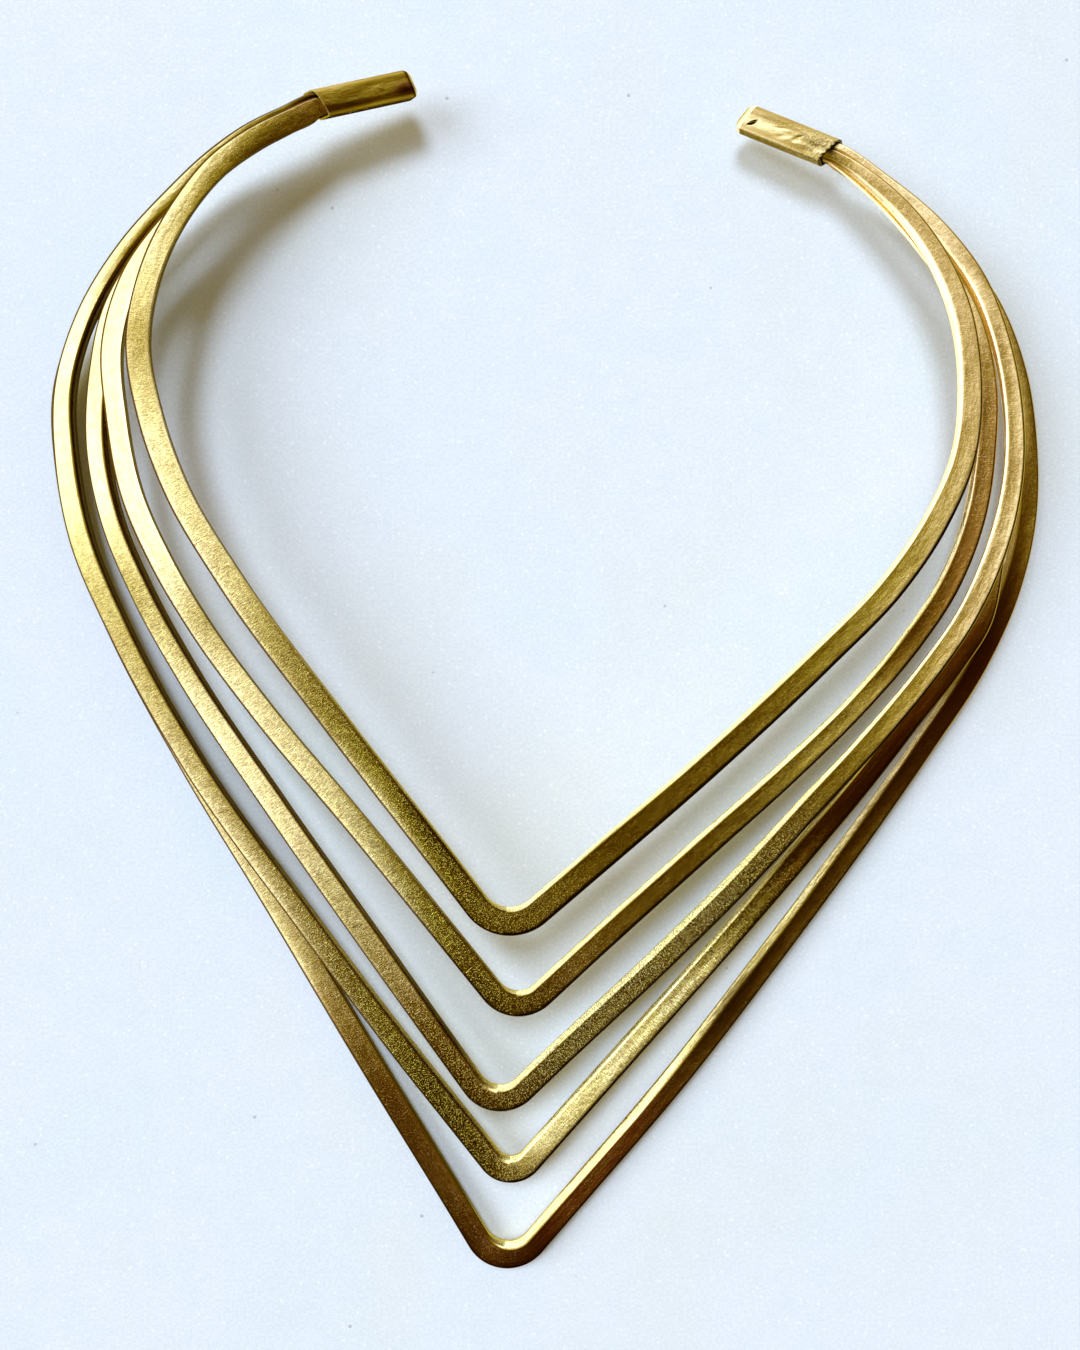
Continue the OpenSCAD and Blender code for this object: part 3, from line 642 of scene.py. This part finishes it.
for name in ROUTES:
    rings, facing, marks = wire_rings(name)
    along, across, up, corner, outward = np.moveaxis(marks, -1, 0)
    height = 0.5 + up / (2 * up.max(axis=1, keepdims=True))
    share = 0.5 + across / (2 * across.max(axis=1, keepdims=True))
    left = along < 0
    # Inner sides turn up toward the top face, and face partly up below that
    top = facing[:, [CORNER_STEPS + FACE_STEPS // 2]]
    past = height - np.where(left, *FOLD[name])
    right_turn = np.maximum(np.interp(past, *RIGHT_TURN), rising(outward, -0.7, -0.45))
    rise = (outward < 0) * np.where(left, np.interp(past, *LEFT_TURN), right_turn)
    inward = rising(-outward, 0.5, 0.9)
    facing[..., 2] += inward * (0.25 + 0.75 * height)
    facing = normalized(facing)
    facing = normalized(facing * (1 - rise)[..., None] + top * rise[..., None])
    columns = np.array(SURFACES[name], float).T
    inner, outer, red = (np.interp(along, columns[0], c) for c in columns[1:])
    lean = inner * (1 - share) + outer * share
    lean += np.interp(along, *OUTER_EDGE) * rising(share, 0.75, 0.95)
    if name not in PLAIN_EDGES:
        lean += np.interp(along, *INNER_EDGE) * (1 - rising(share, 0.08, 0.2))
    if name in CROWNS:
        lean += np.interp(along, *CROWNS[name]) * np.exp(-((share - 0.5) / CROWN_SHARE)**2)
    upward = rising(facing[..., 2], 0.5, 0.9)
    facing = normalized(facing + (np.tan(np.radians(lean)) * upward)[..., None] * TOWARD_WINDOW)
    # Painted shade darkens the inner sides away from the bend, and the outer edges
    back, front, right = SIDE_SHADE[name]
    side_shade = np.where(left, np.interp(along, (-65, -40), (back, front)), right)
    dark = rising(np.abs(along), 0, 12) * side_shade * inward * (1 - rise)
    # Painted shade on the outer side of the left arms and the outer strip of the right arms' tops
    outer_edge_shade = np.where(left, rising(outward, 0.2, 0.4), rising(share, 0.82, 0.87))
    dark = np.maximum(dark, outer_edge_shade * np.interp(along, *OUTER_SHADE))
    # Painted shadow on the wires inside and just outside the right cap's mouth
    at_cap = np.linalg.norm(rings - np.array(RIGHT_CAP[MOUTH]), axis=-1) < MOUTH_REACH
    dark = np.maximum(dark, 0.9 * at_cap * rising(mouth_depth(RIGHT_CAP, rings), -0.55, -0.35))
    rosy = np.interp(along, *ROSY)
    # Painted shade: olive on the tops where they lean away from the window
    olive = (1 - rising(lean, -5, 3)) * (1 - rosy) * rising(outward, -0.5, -0.2)
    red = red * upward * rising(outward, -0.7, -0.4)
    dress(name, rings, facing, marks, {"red": red, "dark": dark, "olive": olive, "rosy": rosy,
                                       "worn": np.interp(along, *WEAR[name])})

# How the caps' faces lean. Columns: place across the top, with 0 at its inner edge,
# 1 at its outer edge and one more for each rounded corner beside it; degrees outward
# from straight up near the mouth and toward the closed end
CAP_LEANS = {
    "left_cap": ((-1, -19, -19), (-0.8, -18, -18), (-0.65, -15, -14), (-0.45, -16, -12), (-0.25, -30, -24),
                 (0, -29, -25), (0.15, -22, -20), (0.3, -20, -16), (0.45, -18, -13), (0.6, -14, -14),
                 (0.75, -16, -14), (0.9, -15, -13), (1.0, -15, -16), (1.15, -13, -17), (1.3, -11, -14),
                 (1.5, -8, -9), (2, -9, -9)),
    "right_cap": ((-1, -11, -7), (-0.75, -13, -9), (-0.5, -16, -14), (-0.3, -21, -14), (0, -12, -8),
                  (0.15, -14, -7), (0.3, -22, -7), (0.45, -22, -8), (0.6, -17, -8), (0.75, -15, -11),
                  (0.9, -15, -16), (2, -15, -17)),
}
FLAT_STEPS = 14
TURN_STEPS = 9
BORE_DEPTH = 3.5        # of the bore that is drawn
RIM_EDGE = 0.04
RIB_STEP = 0.2
END_STEP = 7.5          # degrees
DENT_STEP = 0.05
NEAR_MOUTH = 4          # millimetres; the leans near the end start as far again


def cap_outline(wide, tall, r):
    """Rounded rectangle as rows of x, y and the way it faces in degrees."""
    rows = []
    flats = (wide, tall, wide, tall)
    for k, (sx, sy) in enumerate(((1, 1), (-1, 1), (-1, -1), (1, -1))):
        center = np.array([sx * (wide / 2 - r), sy * (tall / 2 - r)])
        for turn in np.linspace(0, 90, TURN_STEPS):
            a = math.radians(90 * k + turn)
            rows.append((center[0] + r * math.cos(a), center[1] + r * math.sin(a), 90 * k + turn))
        a = math.radians(90 * k + 180)
        q = np.array(rows[-1][:2])
        for step in range(1, FLAT_STEPS):
            q = q + np.array([math.cos(a), math.sin(a)]) * (flats[k] - 2 * r) / FLAT_STEPS
            rows.append((q[0], q[1], 90 * k + 90))
    return np.array(rows)


def spot(s, q, at, size, turn=0):
    """Smooth round or long spot of depth 1 at a place, in millimetres."""
    a = math.radians(turn)
    ds, dq = s - at[0], q - at[1]
    return np.exp(-((ds * math.cos(a) + dq * math.sin(a)) / size[0])**2
                  - ((dq * math.cos(a) - ds * math.sin(a)) / size[1])**2)


def cap_rings(name, cap, dents):
    """Rings of a hollow cap from its bore over the rim to the closed end. dents is
    the depth of hand-worked hollows for each depth and place around the cap."""
    along, u, v = cap_frame(cap)
    length = np.linalg.norm(np.array(cap[END]) - np.array(cap[MOUTH]))
    # Columns: depth, inset, turn toward the closed end, facing (1 out, -1 into the bore)
    profile = [(BORE_DEPTH, CAP_WALL, 0, -1), (1.5, CAP_WALL, 0, -1), (RIM_EDGE, CAP_WALL, 0, -1),
               (0, CAP_WALL - RIM_EDGE, -90, 1), (0, RIM_EDGE, -90, 1), (RIM_EDGE, 0, 0, 1)]
    profile += [(d, 0, 0, 1) for d in np.arange(RIB_STEP, length - END_R, RIB_STEP)]
    profile += [(length - END_R + END_R * math.sin(a), END_R * (1 - math.cos(a)), math.degrees(a), 1)
                for a in np.radians(np.arange(0, 91, END_STEP))]
    wide, tall = cap[CAP_WIDE], cap[CAP_TALL]
    base = cap_outline(wide, tall, CAP_R)
    around = np.concatenate([[0], np.cumsum(np.linalg.norm(np.diff(base[:, :2], axis=0), axis=1))])
    # The top and the sides follow the table, and the underside is plain
    turn = base[:, 2]
    a = np.radians(turn)
    corner = np.sin(2 * a)**2
    place = np.clip(0.5 + base[:, 0] / (wide - 2 * CAP_R), 0, 1) + (90 - turn) / 90
    places, near_mouth, near_end = np.array(CAP_LEANS[name], float).T
    rings, facing, marks = [], [], []
    for depth, inset, tilt, sense in profile:
        share = depth / length
        across = cap[OUT_SLANT] * (1 - share) + cap[END_SLANT] * share
        upward = cap[UP_SLANT] * (1 - share)
        outline = cap_outline(wide - 2 * inset, tall - 2 * inset, max(CAP_R - inset, 0.3))
        dented = sense > 0 and tilt > -1
        hollow = dents(depth, around) if dented else 0 * around
        xs, ys = outline[:, 0], outline[:, 1]
        slant = across * xs + upward * ys
        xs, ys = xs - hollow * np.cos(a), ys - hollow * np.sin(a)
        middle = np.array(cap[MOUTH]) + (depth + slant)[:, None] * along
        rings.append(middle + xs[:, None] * u + ys[:, None] * v)
        mix = rising(depth, NEAR_MOUTH, 2 * NEAR_MOUTH)
        lean = np.interp(place, places, near_mouth * (1 - mix) + near_end * mix)
        b = np.radians(np.where(turn <= 180, 90 - cap[CAP_ROLL] - lean, turn))
        out = np.cos(b)[:, None] * u + np.sin(b)[:, None] * v
        beside = -np.sin(b)[:, None] * u + np.cos(b)[:, None] * v
        t = math.radians(tilt)
        n = sense * (out * math.cos(t) + along * math.sin(t))
        if dented:
            by_depth = dents(depth + DENT_STEP, around) - dents(depth - DENT_STEP, around)
            by_place = dents(depth, around + DENT_STEP) - dents(depth, around - DENT_STEP)
            n = n + (by_depth[:, None] * along + by_place[:, None] * beside) / (2 * DENT_STEP)
        facing.append(normalized(n))
        depths = np.full(len(around), sense * depth)
        marks.append(np.stack([depths, around, 0 * around, corner, np.cos(a)], axis=1))
    return np.array(rings), np.array(facing), np.array(marks)


# Places on the caps as depth along and place around, then half sizes and turn
RIGHT_SLIT = ((12.5, 3.3), (0.72, 0.3), 51)
LEFT_RED = ((13.3, 3.2), (1.6, 0.75))
LEFT_DARK = ((5.4, 3.15), (1.8, 0.35))


def left_dents(s, q):
    return 0.04 * spot(s, q, (5, 2.8), (2.5, 0.4)) + 0.03 * spot(s, q, (10, 3.0), (2, 0.4))


def right_dents(s, q):
    hollow = 0.45 * np.clip(1.6 * spot(s, q, *RIGHT_SLIT) - 0.55, 0, 1)
    # Columns: depth along, place around, half length, half width, turn, depth of the dent
    for at_s, at_q, long, wide, turn, depth in (
            (1.8, 3.4, 0.9, 0.5, -30, 0.10), (2.6, 3.9, 0.6, 0.3, -30, 0.04), (5.0, 2.7, 0.6, 0.3, 40, 0.05),
            (5.2, 3.4, 0.6, 0.3, 20, 0.05), (8.4, 2.6, 0.7, 0.2, 10, 0.03), (7.5, 3.6, 0.7, 0.3, 15, 0.04)):
        hollow = hollow + depth * spot(s, q, (at_s, at_q), (long, wide), turn)
    return hollow


for name, cap, dents in (("left_cap", LEFT_CAP, left_dents), ("right_cap", RIGHT_CAP, right_dents)):
    rings, facing, marks = cap_rings(name, cap, dents)
    s, q = marks[..., 0], marks[..., 1]
    if name == "left_cap":
        red = 1.3 * spot(s, q, *LEFT_RED)
        # Painted shade inside the bore
        bore_shade = np.where(s < -0.05, 0.9, 0)
        dark = 0.65 * red + 0.3 * spot(s, q, *LEFT_DARK) + bore_shade
        worn = np.full(s.shape, 0.15)
        rosy = np.full(s.shape, 0.3)
    else:
        red = 0 * s
        # Painted shade in the bore, along a ragged band at the mouth, and in the slit
        ragged = 0.3 + 0.12 * np.sin(9 * q)
        dark = rising(ragged - s, 0, 0.1) + np.clip(2 * spot(s, q, *RIGHT_SLIT) - 0.5, 0, 1)
        worn = np.interp(s, (0, 4, 7), (1.0, 0.6, 0.15))
        rosy = np.full(s.shape, 0.5)
    tones = {"red": np.clip(red, 0, 1), "dark": np.clip(dark, 0, 1), "olive": 0 * s,
             "worn": worn, "rosy": rosy}
    if name == "left_cap":
        # Its outline runs the other way round
        rings, facing, marks = (g[:, ::-1] for g in (rings, facing, marks))
        tones = {key: g[:, ::-1] for key, g in tones.items()}
    dress(name, rings, facing, marks, tones)

# Floor
FLOOR_SIZE = 3.0
mesh = bpy.data.meshes.new("floor")
h = FLOOR_SIZE / 2
mesh.from_pydata([(-h, -h, 0), (h, -h, 0), (h, h, 0), (-h, h, 0)], [], [(0, 1, 2, 3)])
floor = bpy.data.objects.new("floor", mesh)
bpy.context.collection.objects.link(floor)
marble = bpy.data.materials.new("marble")
marble.use_nodes = True
nd = Nodes(marble.node_tree)
shader = marble.node_tree.nodes["Principled BSDF"]
place_mm = nd.mapping(nd.add("TexCoord").outputs["Object"], (1000, 1000, 1000))
clouds = nd.noise(nd.mapping(place_mm, (0.016, 0.022, 0.02)), 1.0, 4.0, 0.6)
tints = nd.noise(nd.mapping(place_mm, (0.03, 0.02, 0.02), location=(7, 3, 1)), 1.0, 3.0, 0.55)
veins = nd.noise(nd.mapping(place_mm, (0.22, 0.22, 0.22)), 1.0, 4.0, 0.6)
crystals = nd.noise(place_mm, 2.2, 2.0, 0.7)
sparkles = nd.add("TexVoronoi", {"Vector": place_mm, "Scale": 0.55}).outputs["Distance"]
specks = nd.add("TexVoronoi", {"Vector": place_mm, "Scale": 0.10}).outputs["Distance"]
stone = nd.mix(nd.span(clouds, 0.35, 0.65), (0.84, 0.89, 0.90, 1), (0.88, 0.90, 0.93, 1))
stone = nd.mix(nd.span(tints, 0.50, 0.70, 0.0, 0.8), stone, (0.85, 0.87, 0.82, 1))
stone = nd.mix(nd.span(tints, 0.45, 0.30, 0.0, 0.8), stone, (0.80, 0.89, 0.88, 1))
stone = nd.mix(nd.span(veins, 0.35, 0.65, 0.28, 0.0), stone, (0.76, 0.81, 0.83, 1))
stone = nd.mix(nd.span(crystals, 0.30, 0.50, 0.5, 0.0), stone, (0.74, 0.78, 0.80, 1))
stone = nd.mix(nd.span(crystals, 0.50, 0.70, 0.0, 0.7), stone, (0.96, 0.98, 0.99, 1))
stone = nd.mix(nd.span(sparkles, 0.10, 0.16, 0.8, 0.0), stone, (0.99, 0.99, 0.99, 1))
stone = nd.mix(nd.span(specks, 0.020, 0.035, 0.6, 0.0), stone, (0.35, 0.36, 0.38, 1))
nd.put(shader.inputs["Base Color"], stone)
shader.inputs["Roughness"].default_value = 0.6
shader.inputs["Specular IOR Level"].default_value = 0.2
mesh.materials.append(marble)

# Camera: straight down from 174 mm
CAMERA_HEIGHT = 174
LENS_PX = 1088
FRAME_PX = 1350
SENSOR = 36
cam_data = bpy.data.cameras.new("camera")
cam_data.sensor_fit = "VERTICAL"
cam_data.sensor_height = SENSOR
cam_data.lens = SENSOR * LENS_PX / FRAME_PX
cam_data.clip_start = 0.01
cam = bpy.data.objects.new("camera", cam_data)
cam.location = Vector((PLACE[0], PLACE[1], CAMERA_HEIGHT + PLACE[2])) * MM
bpy.context.collection.objects.link(cam)
bpy.context.scene.camera = cam

# Daylight on the floor: a window past the back of the choker, and a softer and
# lower one at its left. The metal sees the room's own glow, below, in place of
# these lamps.
# Columns: azimuth, elevation and spread in degrees, light on level ground
DAYLIGHT = {
    "window": (106, 61, 20, 1.65),
    "left_window": (172, 42, 40, 1.4),
}
DAYLIGHT_COLOR = (0.67, 0.815, 1.05)
for name, (azimuth, elevation, spread, level) in DAYLIGHT.items():
    light_data = bpy.data.lights.new(name, "SUN")
    light_data.angle = math.radians(spread)
    light_data.energy = level / math.sin(math.radians(elevation))
    light_data.color = DAYLIGHT_COLOR
    lamp = bpy.data.objects.new(name, light_data)
    a, b = math.radians(azimuth), math.radians(elevation)
    source = Vector((math.cos(a) * math.cos(b), math.sin(a) * math.cos(b), math.sin(b)))
    lamp.location = source
    lamp.rotation_euler = source.to_track_quat("Z", "Y").to_euler()
    lamp.visible_glossy = False
    bpy.context.collection.objects.link(lamp)

# Room: cool and bright toward the window, gold in the middle, and dark and warm
# toward the lower right
world = bpy.data.worlds.new("room")
bpy.context.scene.world = world
world.use_nodes = True
world.cycles.sampling_method = "NONE"
nd = Nodes(world.node_tree)
background = world.node_tree.nodes["Background"]
direction = nd.add("TexCoord").outputs["Generated"]
toward = nd.add("SeparateXYZ", {0: direction})
x, y, z = toward.outputs
# Near the level the left is brighter and the right darker
level = nd.math("SUBTRACT", 1.0, nd.math("MULTIPLY", z, z))
sideways = nd.total(((x, -0.64), (y, -0.24)))
lean = nd.total(((y, 1.0), (x, -0.6), (nd.math("POWER", level, 2.0), sideways)))
GLOW = 6.4
ROOM_SHADE = (0.047, 0.035, 0.013, 1)
BACKDROP = (0.118, 0.132, 0.148, 1)
FLOOR_BOUNCE = 2.2
glow = nd.ramp(nd.span(lean, -1.0, 1.0), [
    (t / 2 + 0.5, tuple(c / GLOW for c in color)) for t, color in (
        (-1.00, (0.018, 0.008, 0.001)),
        (1.00, (1.60, 1.90, 4.40)),
        (-0.60, (0.040, 0.018, 0.002)),
        (-0.40, (0.075, 0.038, 0.003)),
        (-0.25, (0.120, 0.078, 0.006)),
        (-0.13, (0.190, 0.155, 0.015)),
        (0.00, (0.31, 0.28, 0.055)),
        (0.10, (0.48, 0.44, 0.23)),
        (0.20, (0.72, 0.69, 0.95)),
        (0.30, (1.10, 1.28, 3.00)),
        (0.40, (1.60, 1.92, 5.00)),
        (0.50, (2.10, 2.50, 6.40)),
        (0.75, (2.20, 2.60, 6.40)))])
# The metal throws some of the window's light on the floor
path = nd.add("LightPath")
seen = nd.math("MULTIPLY", path.outputs["Is Glossy Ray"],
               nd.span(path.outputs["Diffuse Depth"], 0.0, 1.0, 1.0, FLOOR_BOUNCE))
around = nd.mix(seen, ROOM_SHADE, glow)
# The camera sees a pale backdrop past the floor
nd.put(background.inputs["Color"], nd.mix(path.outputs["Is Camera Ray"], around, BACKDROP))
background.inputs["Strength"].default_value = GLOW

bpy.context.scene.view_settings.view_transform = "Standard"
